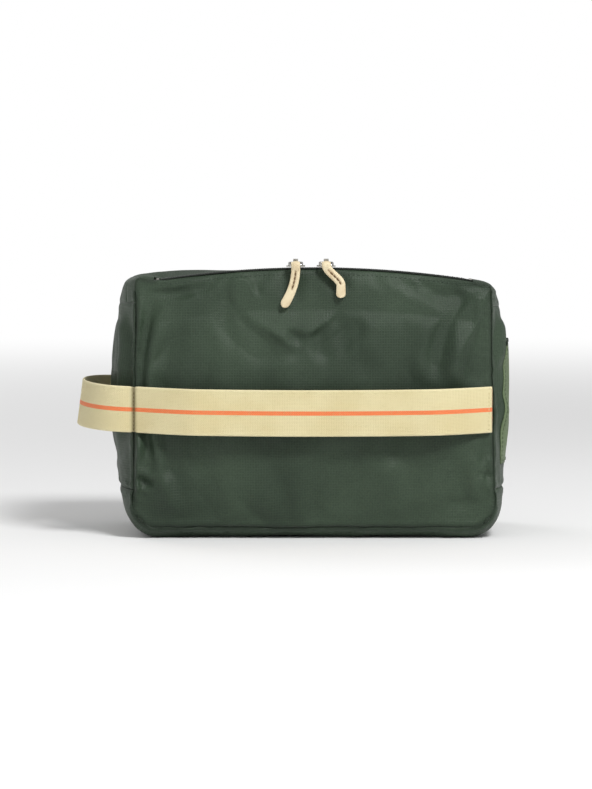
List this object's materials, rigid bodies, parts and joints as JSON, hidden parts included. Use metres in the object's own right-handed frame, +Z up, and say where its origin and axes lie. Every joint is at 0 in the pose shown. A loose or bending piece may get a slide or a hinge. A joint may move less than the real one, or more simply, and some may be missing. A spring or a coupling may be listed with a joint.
{
  "type": "toiletry bag",
  "caption": "Soft zipped toiletry bag with a webbing trolley strap across its back, a webbing carry handle on one side and sliders with leather pulls.",
  "frame": {"origin": "centre of the flat underside, on the floor", "axes": "+X along the zip, away from the side handle; -Y out of the back that carries the trolley strap; +Z up"},
  "size_m": [0.2933, 0.1457, 0.1851],
  "materials": {
    "dark_fabric": "coated ribbed nylon, slight sheen",
    "sage_fabric": "matt woven polyester",
    "webbing": "ribbed cotton webbing with a coloured centre stripe",
    "leather": "light stitched leather",
    "nickel": "polished nickel plate",
    "zip_nylon": "woven tape and nylon coil",
    "lining_fabric": "plain weave lining",
    "binding_tape": "folded grosgrain tape",
    "thread": "twisted thread"
  },
  "bodies": {
    "bag": {"back_panel": "dark_fabric", "front_panel": "dark_fabric", "side_gusset_left": "dark_fabric", "side_gusset_right": "dark_fabric", "bottom_gusset": "dark_fabric", "top_gusset": "dark_fabric", "side_pocket": "sage_fabric", "side_pocket_binding": "binding_tape", "lining_back": "lining_fabric", "lining_front": "lining_fabric", "lining_side_left": "lining_fabric", "lining_side_right": "lining_fabric", "lining_bottom": "lining_fabric", "lining_top": "lining_fabric", "seam_binding_back": "binding_tape", "seam_binding_front": "binding_tape", "zip_tape_back": "zip_nylon", "zip_tape_front": "zip_nylon", "zip_coil_back": "zip_nylon", "zip_coil_front": "zip_nylon", "zip_stop_left": "nickel", "zip_stop_right": "nickel", "zip_end_tab_left": "dark_fabric", "zip_end_tab_right": "dark_fabric", "trolley_strap": "webbing", "handle_end_front": "webbing", "strap_stitches_right": "thread", "handle_stitches_back": "thread", "handle_stitches_front": "thread"},
    "slider_left": {"slider_left": "nickel"},
    "ring_left": {"pull_ring_left": "nickel"},
    "pull_left": {"leather_pull_left": "leather"},
    "slider_right": {"slider_right": "nickel"},
    "ring_right": {"pull_ring_right": "nickel"},
    "pull_right": {"leather_pull_right": "leather"},
    "handle": {"side_handle": "webbing"}
  },
  "joints": [
    {"name": "slider_left_run", "type": "hinge", "parent": "bag", "child": "slider_left", "pos_m": [0, -0.052, -0.50661], "axis": [0, 1, 0], "range_deg": [-6.95, 0.28]},
    {"name": "ring_left_flip", "type": "hinge", "parent": "slider_left", "child": "ring_left", "pos_m": [-0.01207, -0.052, 0.18244], "axis": [0.9998, 0, 0.0175], "range_deg": [-168, 0]},
    {"name": "pull_left_swing", "type": "hinge", "parent": "ring_left", "child": "pull_left", "pos_m": [-0.01205, -0.06443, 0.18114], "axis": [0.9998, 0, 0.0175], "range_deg": [-110, 1.5]},
    {"name": "slider_right_run", "type": "hinge", "parent": "bag", "child": "slider_right", "pos_m": [0, -0.052, -0.50661], "axis": [0, 1, 0], "range_deg": [-0.28, 7.3]},
    {"name": "ring_right_flip", "type": "hinge", "parent": "slider_right", "child": "ring_right", "pos_m": [0.00805, -0.052, 0.1825], "axis": [0.9999, 0, -0.0117], "range_deg": [-168, 0]},
    {"name": "pull_right_swing", "type": "hinge", "parent": "ring_right", "child": "pull_right", "pos_m": [0.00803, -0.06443, 0.1812], "axis": [0.9999, 0, -0.0117], "range_deg": [-110, 1.5]},
    {"name": "handle_tilt", "type": "hinge", "parent": "bag", "child": "handle", "pos_m": [-0.1185, 0, 0.086], "axis": [0, 1, 0], "range_deg": [-25, 25], "stiffness_Nm_per_rad": 0.02}
  ]
}
